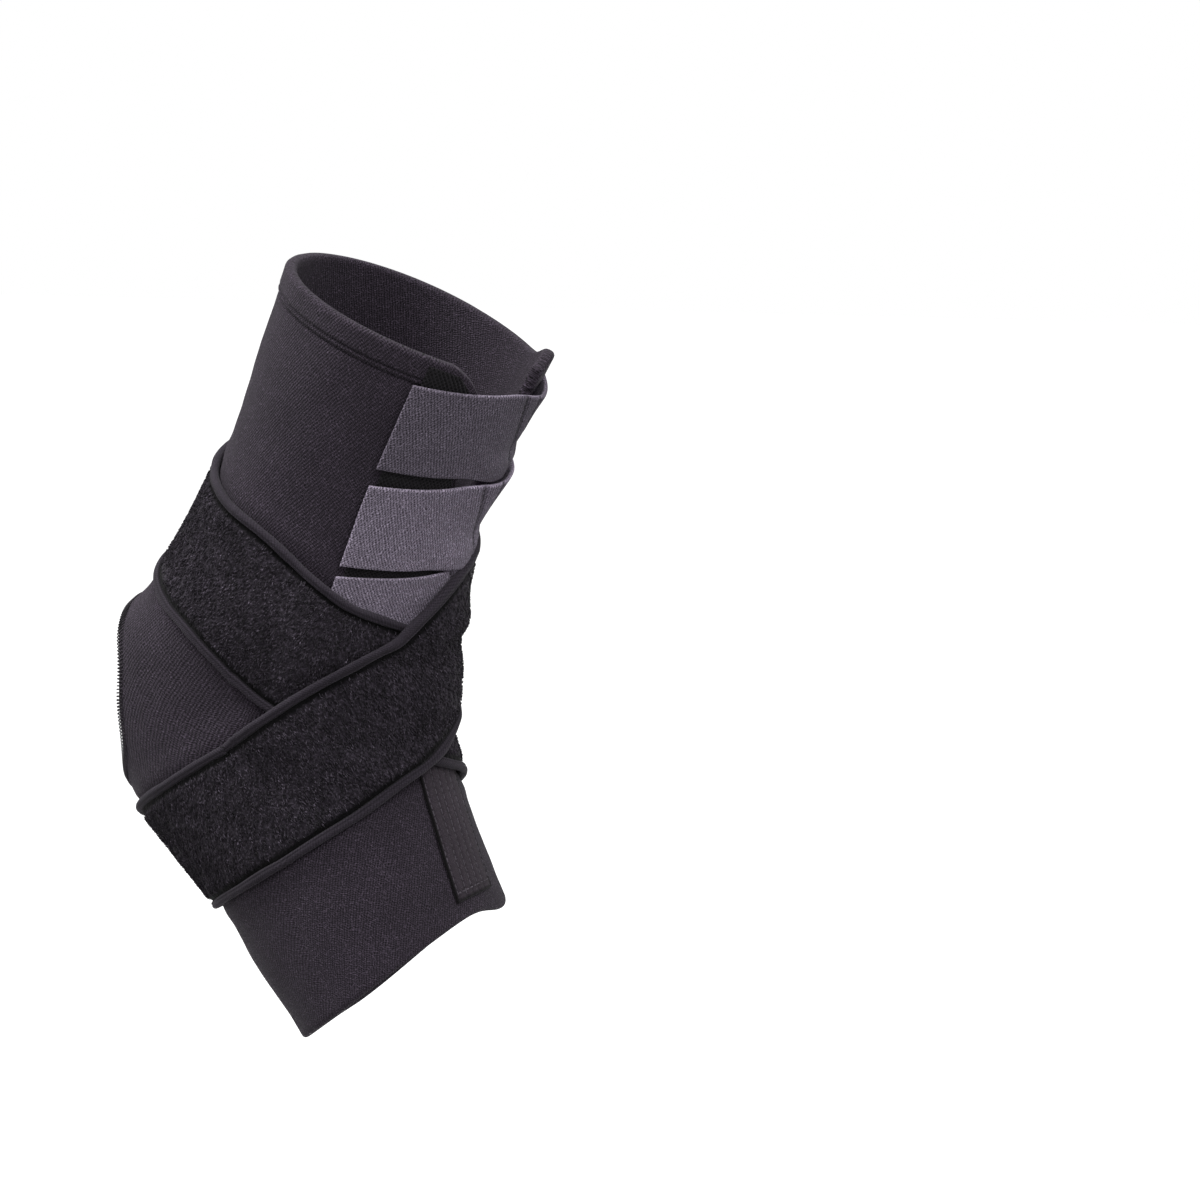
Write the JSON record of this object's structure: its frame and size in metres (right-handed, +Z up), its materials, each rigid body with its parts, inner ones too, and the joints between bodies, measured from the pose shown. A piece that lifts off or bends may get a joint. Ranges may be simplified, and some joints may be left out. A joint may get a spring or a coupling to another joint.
{
  "type": "ankle brace",
  "caption": "Open-heel neoprene ankle sleeve, shaped as worn, with shin closing tabs, a loop patch, an instep tape and a strap wound round the ankle in a figure of eight.",
  "frame": {"origin": "centre of the ankle joint, inside the sleeve", "axes": "+Z up, +X forward to the toes, -Y to the outer side of the right ankle; the leg leans 25 degrees forward and the foot points 60 degrees down"},
  "size_m": [0.1511, 0.0947, 0.2596],
  "materials": {
    "neoprene": "charcoal jersey over neoprene",
    "loop_mesh": "dark diamond loop mesh",
    "tricot": "grey brushed tricot",
    "ribbon": "charcoal stitched tape",
    "pile": "dark brushed loop pile",
    "binding": "charcoal folded binding",
    "hook": "black hook tape"
  },
  "bodies": {
    "root": {"sleeve": "neoprene", "loop_patch": "loop_mesh", "tab_upper": "tricot", "tab_middle": "tricot", "tab_lower": "tricot", "instep_tape": "ribbon", "strap": "pile", "strap_edge_a": "binding", "strap_edge_b": "binding", "strap_hook_pad": "hook"}
  },
  "joints": []
}
